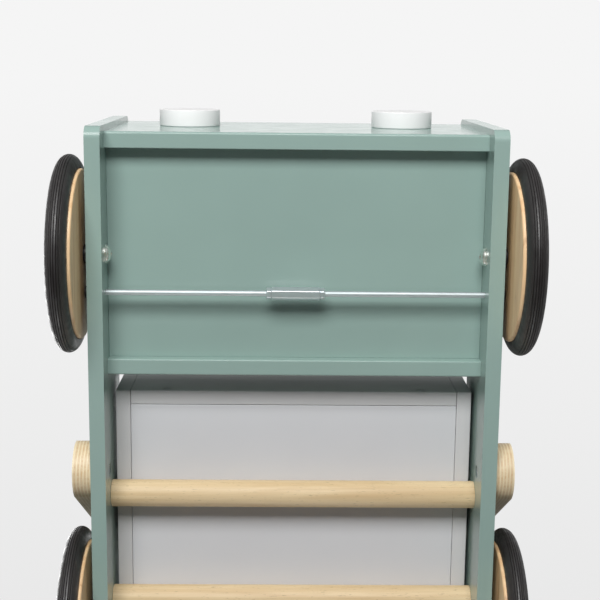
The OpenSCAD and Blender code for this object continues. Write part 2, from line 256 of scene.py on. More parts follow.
def plywood(name, light, dark, middle_x, half_t):
    """Birch plywood as a solid: the plies are layers in x, so cut edges show them as lines."""
    f = Finish(name, PLY_ROUGHNESS)
    wander = f.math("MULTIPLY", f.math("SUBTRACT", f.noise(30.0), 0.5), PLY_WANDER)
    depth = f.math("SUBTRACT", f.math("ABSOLUTE", f.axis(0)), middle_x)
    layer = f.math("DIVIDE", f.math("ADD", depth, wander), PLY_PITCH)
    # A wave from 0 to 0.5 and back over two plies; the shift keeps its count above zero
    count = f.math("FRACT", f.math("ADD", layer, 40.0))
    wave = f.math("ABSOLUTE", f.math("SUBTRACT", count, 0.5))
    pores = f.noise((120.0, 260.0, 260.0), detail=4.0, roughness=0.65)
    end_grain = f.span(pores, 0.3, 0.7, 0.35, 1.0)
    dark_ply = f.math("MULTIPLY", f.span(wave, 0.20, 0.30), end_grain)
    glue = f.span(f.math("ABSOLUTE", f.math("SUBTRACT", wave, 0.25)), 0.0, 0.055, 0.45, 0.0)
    grain = f.noise((60.0, 60.0, 8.0), detail=4.0, roughness=0.6, distortion=0.8)
    fibres = f.noise((1400.0, 1400.0, 40.0), roughness=0.7)
    face = f.mix(f.span(grain, 0.3, 0.7), light, shade(light, 0.86))
    face = f.mix(f.span(fibres, 0.35, 0.8, 0.0, 0.18), face, dark)
    inside = f.span(f.math("ABSOLUTE", depth), half_t - FACE_PLY[1], half_t - FACE_PLY[0],
                    1.0, 0.0)
    edge = f.mix(f.math("MULTIPLY", dark_ply, 0.75), face, dark)
    edge = f.mix(glue, edge, shade(dark, 0.42))
    f.colour(f.mix(inside, face, edge))
    f.roughness(f.span(fibres, 0.2, 0.8, PLY_ROUGHNESS - 0.06, PLY_ROUGHNESS + 0.1))
    ridges = f.math("MULTIPLY", wave, f.math("MULTIPLY", inside, 0.8))
    f.bump(f.math("ADD", ridges, fibres), PLY_RELIEF, strength=0.6)
    return f.material


def rubber(name, colour, roughness):
    """Rubber or nylon: dusty patches, uneven gloss and a fine moulded grain."""
    f = Finish(name, roughness, specular=0.7)
    dust = f.span(f.noise(45.0, detail=5.0, roughness=0.65), 0.45, 0.8, 0.0, 0.3)
    f.colour(f.mix(dust, colour, shade(colour, 2.3)))
    wear = f.noise(150.0, detail=4.0)
    f.roughness(f.span(wear, 0.3, 0.7, roughness - 0.08, roughness + 0.14))
    f.bump(f.noise(1600.0, detail=2.0), FINE_RELIEF, strength=0.45)
    return f.material


def plated(name, colour, roughness):
    """Bright plated steel with slight clouding of its tone and gloss."""
    f = Finish(name, roughness, metallic=1.0)
    clouds = f.noise(90.0)
    f.colour(f.mix(f.span(clouds, 0.3, 0.75, 0.0, 0.5), colour, shade(colour, 0.92)))
    f.roughness(f.span(clouds, 0.25, 0.75, roughness - 0.01, roughness + 0.015))
    return f.material


SAGE = srgb(143, 167, 160)
GREY = srgb(204, 204, 205)
PALE_GREY = srgb(208, 209, 212)
ARM_MIDDLE = (low("handle_arm_right").x + high("handle_arm_right").x) / 2
ARM_HALF = (high("handle_arm_right").x - low("handle_arm_right").x) / 2
LOOK = {
    "sage": paint("sage_satin_paint", SAGE, 0.17),
    "grey": paint("grey_matt_paint", GREY, 0.6, 0.015, 0.3),
    "pale_grey": paint("pale_grey_matt_paint", PALE_GREY, 0.6, 0.012, 0.3),
    "white": paint("white_satin_paint", srgb(237, 236, 236), 0.3, 0.008),
    "beech": wood("lacquered_beech", srgb(226, 203, 163), srgb(208, 180, 137), 0, fleck=0.6),
    "ply": plywood("birch_plywood", srgb(236, 219, 184), srgb(200, 164, 120),
                   ARM_MIDDLE, ARM_HALF),
    "wheel": wood("wheel_wood", srgb(239, 206, 162), srgb(221, 180, 132), 1,
                  streak=srgb(146, 98, 58), coat=0.15),
    "tyre": rubber("tyre_rubber", srgb(33, 30, 30), 0.45),
    "pad": rubber("pad_rubber", srgb(30, 30, 31), 0.42),
    "black": rubber("black_nylon", srgb(26, 26, 28), 0.36),
    "zinc": plated("zinc_plate", srgb(232, 235, 240), 0.33),
    "rod": plated("zinc_plated_rod", srgb(190, 197, 199), 0.6),
    "nickel": plated("nickel_plate", srgb(236, 237, 231), 0.24),
}


# ---------------------------------------------------------------- meshes
TINY = 1e-6
# Faces that meet at more than this many degrees keep a sharp edge, on rounded boards
ROUNDED_ANGLE = 60.0
# How far a cutter stands past the face that it cuts
PAST = 1.0 * MM


def scene_object(name, data):
    """A new object, linked into the scene."""
    obj = bpy.data.objects.new(name, data)
    bpy.context.scene.collection.objects.link(obj)
    return obj


def object_from(name, bm, material, angle=35.0):
    """An object of a finished mesh, smooth except where faces meet at more than an angle."""
    bmesh.ops.recalc_face_normals(bm, faces=bm.faces)
    mesh = bpy.data.meshes.new(name)
    bm.to_mesh(mesh)
    bm.free()
    mesh.shade_smooth()
    mesh.set_sharp_from_angle(angle=math.radians(angle))
    mesh.materials.append(LOOK[material])
    return scene_object(name, mesh)


def place(obj, body, slot, *nodes):
    """Lets a piece ride on a body in place of CAD nodes, which it hides; the slot is not used."""
    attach(obj, body)
    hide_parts(*nodes)


def weigh_normals(obj):
    """Keeps flat faces flat beside their rounded edges."""
    modifier = obj.modifiers.new("flat faces", "WEIGHTED_NORMAL")
    modifier.keep_sharp = True
    modifier.weight = 90


def cut(obj, cutter, operation="DIFFERENCE"):
    """Takes the cutter's shape out of obj for good, or keeps only what they share."""
    modifier = obj.modifiers.new("cut", "BOOLEAN")
    modifier.operation = operation
    modifier.solver = "EXACT"
    modifier.object = cutter
    graph = bpy.context.evaluated_depsgraph_get()
    mesh = bpy.data.meshes.new_from_object(obj.evaluated_get(graph))
    obj.modifiers.clear()
    obj.data = mesh
    bpy.data.objects.remove(cutter, do_unlink=True)


def board(name, lo, hi, edge, material="sage", segments=4):
    """A flat board with all its edges rounded."""
    bm = bmesh.new()
    bmesh.ops.create_cube(bm, size=1.0)
    for v in bm.verts:
        v.co = Vector(lo[i] if v.co[i] < 0 else hi[i] for i in range(3))
    bmesh.ops.bevel(bm, geom=list(bm.edges), offset=edge, segments=segments, profile=0.5,
                    affect="EDGES", clamp_overlap=True)
    return object_from(name, bm, material, ROUNDED_ANGLE)


def arc(middle, radius, start, end, steps):
    """Points on an arc, with its angles in degrees."""
    turns = [math.radians(start + (end - start) * i / steps) for i in range(steps + 1)]
    return [(middle[0] + radius * math.cos(t), middle[1] + radius * math.sin(t))
            for t in turns]


def tube_edges(r, x_in, x_out, edge, steps):
    """The outside of a turned ring or rod with both rims rounded, as (radius, x)."""
    rims = (arc((x_in + edge, r - edge), edge, 180, 90, steps)
            + arc((x_out - edge, r - edge), edge, 90, 0, steps))
    return [(radius, x) for x, radius in rims]


def rounded(corners):
    """An outline whose corners (y, z, radius) are rounded by arcs."""
    points = []
    for i, (y, z, r) in enumerate(corners):
        here = Vector((y, z))
        before = (Vector(corners[i - 1][:2]) - here).normalized()
        after = (Vector(corners[(i + 1) % len(corners)][:2]) - here).normalized()
        half = math.acos(max(-1.0, min(1.0, before.dot(after)))) / 2
        middle = here + (before + after).normalized() * (r / math.sin(half))
        first = here + before * (r / math.tan(half)) - middle
        last = here + after * (r / math.tan(half)) - middle
        turn = first.angle(last)
        steps = max(6, int(math.degrees(turn) / 6))
        for k in range(steps + 1):
            t = k / steps
            points.append(middle + first * math.sin(turn * (1 - t)) / math.sin(turn)
                          + last * math.sin(turn * t) / math.sin(turn))
    return points


def prism_bm(outline, x_low, x_high):
    """A prism along x whose outline is given in y and z."""
    bm = bmesh.new()
    near, far = ([bm.verts.new((x, p[0], p[1])) for p in outline] for x in (x_low, x_high))
    bm.faces.new(near)
    bm.faces.new(far[::-1])
    for i in range(len(outline)):
        j = (i + 1) % len(outline)
        bm.faces.new((near[i], far[i], far[j], near[j]))
    return bm


def plate(name, outline, x_low, x_high, edge, material, segments):
    """A board cut to an outline in y and z, with both its rims rounded."""
    bm = prism_bm(outline, x_low, x_high)
    rims = [e for e in bm.edges if abs(e.verts[0].co.x - e.verts[1].co.x) < TINY]
    bmesh.ops.bevel(bm, geom=rims, offset=edge, segments=segments, profile=0.5,
                    affect="EDGES", clamp_overlap=False)
    return object_from(name, bm, material, ROUNDED_ANGLE)


def turned_bm(bm, profile, side, y, z, steps, closed=False):
    """Turns a profile of (radius, distance out along x) about an axis at y, z."""
    turns = [2 * math.pi * k / steps for k in range(steps)]
    rings = []
    for r, x in profile:
        if r < TINY:
            rings.append([bm.verts.new((side * x, y, z))])
        else:
            rings.append([bm.verts.new((side * x, y + r * math.cos(t), z + r * math.sin(t)))
                          for t in turns])
    pairs = list(zip(rings, rings[1:]))
    if closed:
        pairs.append((rings[-1], rings[0]))
    for a, b in pairs:
        for k in range(steps):
            n = (k + 1) % steps
            if len(a) == 1 and len(b) == 1:
                continue
            if len(a) == 1:
                bm.faces.new((a[0], b[k], b[n]))
            elif len(b) == 1:
                bm.faces.new((a[k], b[0], a[n]))
            else:
                bm.faces.new((a[k], b[k], b[n], a[n]))


def turned_along_y(bm, profile, x, face, inward, z, steps=40):
    """Turns a profile of (radius, depth below the face) about a line along y."""
    before = len(bm.verts)
    turned_bm(bm, profile, 1, 0, 0, steps)
    bm.verts.ensure_lookup_table()
    for v in bm.verts[before:]:
        v.co = Vector((x + v.co.y, face + inward * v.co.x, z + v.co.z))


def turned(name, profile, side, y, z, material, steps=96, closed=False, angle=35.0):
    """One turned object; a closed profile makes a ring round its axis."""
    bm = bmesh.new()
    turned_bm(bm, profile, side, y, z, steps, closed)
    return object_from(name, bm, material, angle)


def plugs(places, material="sage"):
    """One object of closed cylinders (side, x_in, x_out, y, z, radius), to cut with."""
    bm = bmesh.new()
    for side, x_in, x_out, y, z, r in places:
        turned_bm(bm, [(0, x_in), (r, x_in), (r, x_out), (0, x_out)], side, y, z, 40)
    return object_from("cutter", bm, material)


HEX_EDGE = 1.2 * MM
HEX_ANGLE = 25.0
# The turned chamfers: the share of the flats' radius that the end faces keep, how far a cone
# rises past the corners as a share of their height over the flats, its length in such rises
HEX_FACE = 0.97
HEX_RISE = 0.6
HEX_SLANT = 2.2


def hex_part(name, x_low, x_high, y, z, across, bore, material):
    """A nut or sleeve: a hexagon with rounded corners and turned chamfers, and a bore."""
    corner, flat = across / math.sqrt(3), across / 2
    turns = [math.radians(60 * k) for k in range(6)]
    outline = rounded([(y + corner * math.cos(t), z + corner * math.sin(t), HEX_EDGE)
                       for t in turns])
    obj = object_from(name, prism_bm(outline, x_low, x_high), material, HEX_ANGLE)
    rise = (corner - flat) * HEX_RISE
    face, slant = flat * HEX_FACE, HEX_SLANT * rise
    shaper = [(0, x_low), (face, x_low), (corner + rise, x_low + slant),
              (corner + rise, x_high - slant), (face, x_high), (0, x_high)]
    cut(obj, turned("shaper", shaper, 1, y, z, material), "INTERSECT")
    cut(obj, plugs([(1, x_low - PAST, x_high + PAST, y, z, bore)]))
    obj.data.shade_smooth()
    obj.data.set_sharp_from_angle(angle=math.radians(HEX_ANGLE))
    weigh_normals(obj)
    return obj


# ---------------------------------------------------------------- green frame
PANEL_EDGE = 3.0 * MM
CAB_FLOOR_EDGE = 0.35 * MM
WALL_END_EDGE = 0.5 * MM
# Radii of a wall's long edges: front low, front high, rear high, rear low
FRONT_WALL_EDGES = (2.2 * MM, 2.6 * MM, 2.6 * MM, 0.8 * MM)
REAR_WALL_EDGES = (1.4 * MM, 2.6 * MM, 2.6 * MM, 1.6 * MM)
RAIL_HEIGHT = 104 * MM
CAB_TOP_LENGTH = 62 * MM
SLANT_OVERLAP = 14 * MM
WALL_SCREW_HEIGHTS = (43 * MM, 139 * MM)
FLOOR_SCREW_STEPS = (70 * MM, 150 * MM)
REAR_SCREW_HEIGHTS = (23 * MM, 65 * MM)
SCREW_HOLE_R = 4.0 * MM
SCREW_HOLE_DEPTH = 4.3 * MM
SCREW_SINK = 0.35 * MM
INSERT_R = 5.5 * MM
INSERT_DEPTH = 9.9 * MM
# Sunk screw heads, from underneath round to the socket: (radius, depth under the top) in mm
PANEL_HEAD = ((0, 3.4), (3.85, 3.4), (3.85, 0.5), (3.5, 0.12), (3.05, 0), (2.3, 0),
              (2.1, 0.25), (2.0, 2.0), (0, 2.3))
BAR_HEAD = ((0, 3.0), (5.8, 3.0), (5.8, 0.5), (5.3, 0), (2.6, 0), (2.4, 0.3), (2.3, 2.2),
            (0, 2.4))
CRATE_HEAD = ((0, 3.4), (3.85, 3.4), (3.85, 0.4), (3.25, 0), (2.1, 0), (2.0, 2.0), (0, 2.2))
BOARD_HEAD = ((0, 3.3), (3.85, 3.3), (3.85, 0.4), (3.35, 0), (1.9, 0), (1.8, 1.8), (0, 2.0))
ARM_LEAN = math.radians(30)
ARM_BOLT_GAP = 62 * MM
ARM_FOOT_R = 25 * MM


def panel_outline():
    """A side panel in y and z: high at the cab, then slanting down to the low rail."""
    lo, hi = low("side_panel_left"), high("side_panel_left")
    rail = lo.z + RAIL_HEIGHT
    slant_foot = high("cab_rear_wall").y - SLANT_OVERLAP
    return rounded([
        (lo.y, lo.z, 10 * MM), (lo.y, hi.z, 13 * MM), (lo.y + CAB_TOP_LENGTH, hi.z, 42 * MM),
        (slant_foot, rail, 42 * MM), (hi.y, rail, 40 * MM), (hi.y, lo.z, 24 * MM)])


def panel_screw_places():
    """(y, z) of the screws that hold the walls, the floor and the bars."""
    front, floor, rear = low("front_wall"), centre("cab_floor"), centre("cab_rear_wall")
    rear_z = low("cab_rear_wall").z
    return ([(centre("front_wall").y, front.z + up) for up in WALL_SCREW_HEIGHTS]
            + [(front.y + back, floor.z) for back in FLOOR_SCREW_STEPS]
            + [(rear.y, rear_z + up) for up in REAR_SCREW_HEIGHTS]
            + [tuple(centre(f"cross_bar_{end}"))[1:] for end in AXLES])


ARM_FOOT = (low("handle_arm_left").y + ARM_FOOT_R, low("handle_arm_left").z + ARM_FOOT_R)


def arm_point(distance):
    """(y, z) on a handle arm's middle line, at a distance from the centre of its foot."""
    return (ARM_FOOT[0] + distance * math.sin(ARM_LEAN),
            ARM_FOOT[1] + distance * math.cos(ARM_LEAN))


ARM_BOLTS = [arm_point(0), arm_point(ARM_BOLT_GAP)]
ARM_LENGTH = (high("handle_arm_left").z - ARM_FOOT_R - ARM_FOOT[1]) / math.cos(ARM_LEAN)


def sunk_head(bm, rows, side, top, y, z, steps=48):
    """Turns one sunk screw head whose top lies at a distance from the middle plane."""
    turned_bm(bm, [(r * MM, top - depth * MM) for r, depth in rows], side, y, z, steps)


def side_panel(word):
    """A side panel with its screw holes outside and the arm inserts' holes inside."""
    s = SIDES[word]
    node = f"side_panel_{word}"
    x = sorted((s * PANEL_IN, s * PANEL_OUT))
    obj = plate(node + "_board", panel_outline(), *x, PANEL_EDGE, "sage", segments=5)
    holes = [(s, PANEL_OUT - SCREW_HOLE_DEPTH, PANEL_OUT + PAST, y, z, SCREW_HOLE_R)
             for y, z in panel_screw_places()]
    holes += [(s, PANEL_IN - PAST, PANEL_IN + INSERT_DEPTH, y, z, INSERT_R)
              for y, z in ARM_BOLTS]
    cut(obj, plugs(holes))
    weigh_normals(obj)
    place(obj, "chassis", "sage_paint", node)


def wall(node, edges):
    """A wall across the cab whose four long edges are rounded to their own radii."""
    lo, hi = low(node), high(node)
    corners = ((lo.y, lo.z), (lo.y, hi.z), (hi.y, hi.z), (hi.y, lo.z))
    outline = rounded([(*corner, r) for corner, r in zip(corners, edges)])
    obj = plate(node + "_board", outline, lo.x, hi.x, WALL_END_EDGE, "sage", segments=3)
    weigh_normals(obj)
    place(obj, "chassis", "sage_paint", node)


def cab_floor():
    """The board across the cab, with slightly eased edges."""
    obj = board("cab_floor_board", low("cab_floor"), high("cab_floor"), CAB_FLOOR_EDGE)
    weigh_normals(obj)
    place(obj, "chassis", "sage_paint", "cab_floor")


def panel_screws():
    """Sunk screw heads outside on both side panels."""
    bm = bmesh.new()
    for s in SIDES.values():
        for y, z in panel_screw_places():
            sunk_head(bm, PANEL_HEAD, s, PANEL_OUT - SCREW_SINK, y, z)
    place(object_from("panel_screw_heads", bm, "zinc"), "chassis", "zinc_steel",
          "panel_screws")


for word in SIDES:
    side_panel(word)
wall("front_wall", FRONT_WALL_EDGES)
wall("cab_rear_wall", REAR_WALL_EDGES)
cab_floor()
panel_screws()


# ---------------------------------------------------------------- headlights
def headlight(word):
    """A turned white disc with crisp rims, flat against the front wall."""
    node = f"headlight_{word}"
    lo, hi, mid = low(node), high(node), centre(node)
    r, edge, foot = (hi.z - lo.z) / 2, 0.7 * MM, 1.0 * MM
    profile = [(0, lo.y), (r - edge, lo.y)] + arc((r - edge, lo.y + edge), edge, -90, 0, 6)
    profile += arc((r - foot, hi.y - foot), foot, 0, 90, 3) + [(0, hi.y)]
    bm = bmesh.new()
    # The profile's second numbers are already places along y, so its face is at 0
    turned_along_y(bm, profile, mid.x, 0.0, 1, mid.z, steps=128)
    place(object_from(node + "_disc", bm, "white"), "chassis", "white_paint", node)


for word in SIDES:
    headlight(word)


# ---------------------------------------------------------------- beech bars and handle arms
ARM_EDGE = 3.0 * MM
ARM_END_STEPS = 36
ARM_HEAD_R = 7.5 * MM
ARM_HEAD_HEIGHT = 3.0 * MM
ARM_SHANK_R = 3.0 * MM
ARM_SHANK_TIP = PANEL_IN + 2.0 * MM
BAR_SCREW_HOLE_R = 6 * MM
BAR_SCREW_SINK = 0.8 * MM


def bar(node):
    """A round beech bar with eased ends."""
    lo, hi, mid = low(node), high(node), centre(node)
    r, edge = (hi.z - lo.z) / 2, 0.3 * MM
    profile = [(0, lo.x)] + tube_edges(r, lo.x, hi.x, edge, 4) + [(0, hi.x)]
    place(turned(node + "_rod", profile, 1, mid.y, mid.z, "beech"), "chassis", "beech", node)


for node in ("cross_bar_front", "cross_bar_rear", "handle_bar"):
    bar(node)


def arm_outline():
    """A strip with round ends, leaning back from its foot."""
    sine, cosine = math.sin(ARM_LEAN), math.cos(ARM_LEAN)
    points = []
    for k, (y, z) in enumerate((arm_point(ARM_LENGTH), arm_point(0))):
        for i in range(ARM_END_STEPS + 1):
            a = math.radians(180 * i / ARM_END_STEPS + 180 * k)
            across, along = ARM_FOOT_R * math.cos(a), ARM_FOOT_R * math.sin(a)
            points.append((y + across * cosine + along * sine,
                           z - across * sine + along * cosine))
    return points


def handle_arm(word):
    """A plywood arm with rounded rims and a hole outside for the handle bar's screw."""
    s = SIDES[word]
    node = f"handle_arm_{word}"
    outer = reach(node)[1]
    obj = plate(node + "_ply", arm_outline(), low(node).x, high(node).x, ARM_EDGE, "ply",
                segments=5)
    y, z = arm_point(ARM_LENGTH)
    cut(obj, plugs([(s, outer - SCREW_HOLE_DEPTH, outer + PAST, y, z, BAR_SCREW_HOLE_R)]))
    weigh_normals(obj)
    place(obj, "chassis", "birch_ply", node)


def dome(radius, face, height, degrees):
    """Part of a domed bolt head's profile; a negative height points inwards."""
    return [(radius * math.cos(math.radians(a)), face + height * math.sin(math.radians(a)))
            for a in degrees]


def shank(bm, x_in, x_out, radius, side, y, z, steps):
    """The plain round stem of a bolt."""
    turned_bm(bm, [(0, x_in), (radius, x_in), (radius, x_out), (0, x_out)], side, y, z, steps)


def arm_bolts():
    """Bolts with domed heads and round sockets, through the arms into the side panels."""
    ease = 0.3 * MM
    socket, socket_rim, socket_floor = (ARM_HEAD_R * 0.36, ARM_HEAD_HEIGHT * 0.35,
                                        ARM_HEAD_HEIGHT * 0.3)
    face = reach("handle_arm_left")[1]
    top = face + ARM_HEAD_HEIGHT
    head = [(0, face), (ARM_HEAD_R, face)]
    head += dome(ARM_HEAD_R, face, ARM_HEAD_HEIGHT, range(8, 70, 6))
    head += [(socket + ease, top), (socket, top - ease), (socket, face + socket_rim),
             (0, face + socket_floor)]
    bm = bmesh.new()
    for s in SIDES.values():
        for y, z in ARM_BOLTS:
            turned_bm(bm, head, s, y, z, steps=64)
            shank(bm, ARM_SHANK_TIP, face, ARM_SHANK_R, s, y, z, steps=32)
    place(object_from("arm_bolt_heads", bm, "zinc"), "chassis", "zinc_steel",
          "handle_arm_bolts")


def handle_bar_screws():
    """The sunk screws through the arms into the handle bar."""
    bm = bmesh.new()
    top = reach("handle_arm_left")[1] - BAR_SCREW_SINK
    for s in SIDES.values():
        sunk_head(bm, BAR_HEAD, s, top, *arm_point(ARM_LENGTH))
    place(object_from("handle_bar_screw_heads", bm, "zinc"), "chassis", "zinc_steel",
          "handle_bar_screws")


for word in SIDES:
    handle_arm(word)
arm_bolts()
handle_bar_screws()


# ---------------------------------------------------------------- wheels
TREAD_GROOVES = 5
GROOVE_PITCH = 2.0 * MM
GROOVE_DEPTH = 0.9 * MM
GROOVE_HALF = 0.45 * MM
# One groove from edge to edge: (share of its half width, share of its depth)
GROOVE_SECTION = ((-1.0, 0.0), (-0.62, 0.16), (-0.35, 0.75), (0.0, 1.0),
                  (0.35, 0.75), (0.62, 0.16), (1.0, 0.0))
SHOULDER_DEGREES = range(0, 55, 3)
TYRE_FOOT = 0.6 * MM
DISC_R = 72 * MM
HUB_BORE_R = 6 * MM
HUB_POCKET_R = 14 * MM
HUB_POCKET_DEPTH = 9 * MM
CAP_R = 19 * MM
DISC_EDGE = 1.8 * MM
# The turned ring on a disc's outer face
RING_R = DISC_R - 12 * MM
RING_DEPTH = 1.2 * MM
RING_HALF = 1.4 * MM
RING_LIP = 1.6 * MM


def tyre_profile(r_in, r_out, x_in, x_out):
    """A round section with fine grooves along the middle of the tread."""
    half, middle, foot = (x_out - x_in) / 2, (x_in + x_out) / 2, r_in + TYRE_FOOT

    def crown(x):
        return foot + (r_out - foot) * math.sqrt(max(0.0, 1 - (x / half) ** 2))

    turns = [math.radians(a) for a in SHOULDER_DEGREES]
    tread = [(crown(half * math.cos(t)), middle - half * math.cos(t)) for t in turns]
    for g in range(TREAD_GROOVES):
        at = (g - (TREAD_GROOVES - 1) / 2) * GROOVE_PITCH
        for across, deep in GROOVE_SECTION:
            x = at + across * GROOVE_HALF
            tread.append((crown(x) - deep * GROOVE_DEPTH, middle + x))
    tread += [(crown(half * math.cos(t)), middle + half * math.cos(t)) for t in turns[::-1]]
    return tread + [(r_in, x_out - TYRE_FOOT), (r_in, x_in + TYRE_FOOT)]


def disc_profile(x_in, x_out):
    """Wooden disc: rounded rims, a shallow turned ring on the outer face, a hub pocket."""
    ease = 0.4 * MM
    pocket_x = x_out - HUB_POCKET_DEPTH
    points = [(HUB_BORE_R, x_in + ease), (HUB_BORE_R + ease, x_in)]
    points += tube_edges(DISC_R, x_in, x_out, DISC_EDGE, 6) + [(RING_R + RING_LIP, x_out)]
    for degrees in range(20, 161, 20):
        t = math.radians(degrees)
        points.append((RING_R + RING_HALF * math.cos(t), x_out - RING_DEPTH * math.sin(t)))
    return points + [(RING_R - RING_LIP, x_out), (HUB_POCKET_R, x_out),
                     (HUB_POCKET_R, pocket_x), (HUB_BORE_R, pocket_x)]


def cap_profile(r, x_seat, x_top):
    """A low domed hub cap with a rounded rim."""
    skirt, ease, lip, share, steps = 1.6 * MM, 0.5 * MM, 0.4 * MM, 0.93, 12
    low_x = x_seat + skirt
    crown = [(r * (share - share * i / steps),
              low_x + (x_top - x_seat - skirt) * math.sqrt(max(0.0, 1 - (1 - i / steps) ** 2)))
             for i in range(steps + 1)]
    return [(0, x_seat), (r - ease, x_seat), (r, x_seat + ease), (r, x_seat + skirt * 0.8),
            (r - lip, low_x)] + crown


def wheel(end, word):
    """A grooved tyre, a turned disc and a domed cap."""
    s = SIDES[word]
    tag = f"{end}_{word}"
    body = f"wheel_{tag}"
    y, z = AXLE_AT[end]
    tyre, disc, cap = (f"{n}_{tag}" for n in ("tyre", "wheel_disc", "hub_cap"))
    r_tyre = (high(tyre).z - low(tyre).z) / 2
    piece = turned(tyre + "_tread", tyre_profile(DISC_R, r_tyre, *reach(tyre)), s, y, z,
                   "tyre", steps=192, closed=True, angle=32.0)
    place(piece, body, "tyre_rubber", tyre)
    piece = turned(disc + "_turned", disc_profile(*reach(disc)), s, y, z, "wheel",
                   steps=160, closed=True)
    place(piece, body, "wheel_ply", disc)
    piece = turned(cap + "_dome", cap_profile(CAP_R, reach(disc)[1], reach(cap)[1]),
                   s, y, z, "white")
    place(piece, body, "white_paint", cap)


for end in AXLES:
    for word in SIDES:
        wheel(end, word)


# ---------------------------------------------------------------- axles
# The four axles as (side, y, z)
AXLE_ENDS = [(s, *AXLE_AT[end]) for s in SIDES.values() for end in AXLES]
AXLE_STEPS = 72
AXLE_R = 4 * MM
AXLE_PAST_SPACER = 12 * MM
AXLE_HEAD_R = 7.3 * MM
AXLE_HEAD_HEIGHT = 4.0 * MM
AXLE_SOCKET_R = 2.4 * MM
AXLE_SOCKET_RIM = 1.6 * MM
AXLE_SOCKET_FLOOR = 1.4 * MM
WASHER_R = 8.0 * MM
WASHER_HOLE_R = 3.9 * MM
WASHER_THICKNESS = 1.2 * MM
SPACER_R = 8.25 * MM
SPACER_EDGE = 0.8 * MM


def axle_bolts():
    """Domed heads with sockets on the inner washers, and shanks out into the wheels."""
    ease = 0.3 * MM
    face = PANEL_IN - WASHER_THICKNESS
    top = face - AXLE_HEAD_HEIGHT
    head = [(0, face), (AXLE_HEAD_R - ease, face), (AXLE_HEAD_R, face - ease)]
    head += dome(AXLE_HEAD_R, face, -AXLE_HEAD_HEIGHT, range(10, 66, 5))
    head += [(AXLE_SOCKET_R + ease, top), (AXLE_SOCKET_R, top + ease),
             (AXLE_SOCKET_R, face - AXLE_SOCKET_RIM), (0, face - AXLE_SOCKET_FLOOR)]
    x_out = high("axle_spacers").x + AXLE_PAST_SPACER
    bm = bmesh.new()
    for s, y, z in AXLE_ENDS:
        turned_bm(bm, head, s, y, z, AXLE_STEPS)
        shank(bm, PANEL_IN, x_out, AXLE_R, s, y, z, steps=40)
    place(object_from("axle_bolt_heads", bm, "nickel"), "chassis", "bright_steel",
          "axle_bolts")


def axle_rings(name, profile, material, slot, node):
    """One ring of the same profile about each axle."""
    bm = bmesh.new()
    for s, y, z in AXLE_ENDS:
        turned_bm(bm, profile, s, y, z, AXLE_STEPS, closed=True)
    place(object_from(name, bm, material), "chassis", slot, node)


def axle_washers():
    """Plain washers between the bolt heads and the panels' inner faces."""
    ease = 0.4 * MM
    face = PANEL_IN - WASHER_THICKNESS
    profile = [(WASHER_HOLE_R, face), (WASHER_R - ease, face), (WASHER_R, face + ease),
               (WASHER_R, PANEL_IN), (WASHER_HOLE_R, PANEL_IN)]
    axle_rings("axle_inner_washers", profile, "nickel", "bright_steel", "axle_washers")


def axle_spacers():
    """Black rings that keep the wheels off the panels."""
    x_out = high("axle_spacers").x
    profile = [(AXLE_R, PANEL_OUT)]
    profile += tube_edges(SPACER_R, PANEL_OUT, x_out, SPACER_EDGE, 4) + [(AXLE_R, x_out)]
    axle_rings("axle_spacer_rings", profile, "black", "black_plastic", "axle_spacers")


axle_bolts()
axle_washers()
axle_spacers()


# ---------------------------------------------------------------- screw brake
THREAD_PITCH = 0.8 * MM
THREAD_DEPTH = 0.28 * MM
RINGS_PER_TURN = 6
PLAIN_STEP = 2.0 * MM
ROD_R = 2.5 * MM
ROD_CHAMFER = 0.4 * MM
# The inner thread ends at a distance from the middle plane; the outer one has a length
INNER_THREAD_END = 24 * MM
OUTER_THREAD = 12 * MM
INNER_TIP = 1.0 * MM
OUTER_TIP = 0.5 * MM
SLEEVE_ACROSS = 10 * MM
SLEEVE_BORE_R = 2.56 * MM
NUT_ACROSS = 9 * MM
NUT_BORE_R = 2.45 * MM
PAD_R = 5.2 * MM
PAD_EDGE = 0.8 * MM
PAD_BORE_R = 2.4 * MM
PAD_FACE = 1.1 * MM
THREAD_FADE = 1.0 * MM


def threaded_rod(name, side, x_in, x_out, threads):
    """A rod along x whose threaded stretches are a real helix; threads are (from, to)."""
    around = 24
    x = x_in + ROD_CHAMFER
    stations = [x_in, x]
    while x < x_out - ROD_CHAMFER:
        inside = any(a <= x <= b for a, b in threads)
        x += THREAD_PITCH / RINGS_PER_TURN if inside else PLAIN_STEP
        stations.append(min(x, x_out - ROD_CHAMFER))
    stations.append(x_out)

    def radius(x, k):
        """The radius at a station, k steps round; a thread fades in and out at its ends."""
        if x in (x_in, x_out):
            return ROD_R - ROD_CHAMFER
        r = ROD_R
        for a, b in threads:
            if a <= x <= b:
                fade = min(1.0, (x - a) / THREAD_FADE, (b - x) / THREAD_FADE)
                phase = (x / THREAD_PITCH - side * k / around) % 1.0
                r -= THREAD_DEPTH * fade * (1 - abs(2 * phase - 1))
        return r

    bm = bmesh.new()
    turns = [2 * math.pi * k / around for k in range(around)]
    rings = [[bm.verts.new((side * x, ROD_Y + radius(x, k) * math.cos(t),
                            ROD_Z + radius(x, k) * math.sin(t)))
              for k, t in enumerate(turns)] for x in stations]
    for a, b in zip(rings, rings[1:]):
        for k in range(around):
            n = (k + 1) % around
            bm.faces.new((a[k], b[k], b[n], a[n]))
    bm.faces.new(rings[0])
    bm.faces.new(rings[-1][::-1])
    return object_from(name, bm, "rod", angle=50.0)


def hexagon(name, node, body, across, bore):
    """A zinc-plated hexagonal part on the rods' axis, in place of a CAD node."""
    obj = hex_part(name, low(node).x, high(node).x, ROD_Y, ROD_Z, across, bore, "zinc")
    place(obj, body, "zinc_steel", node)


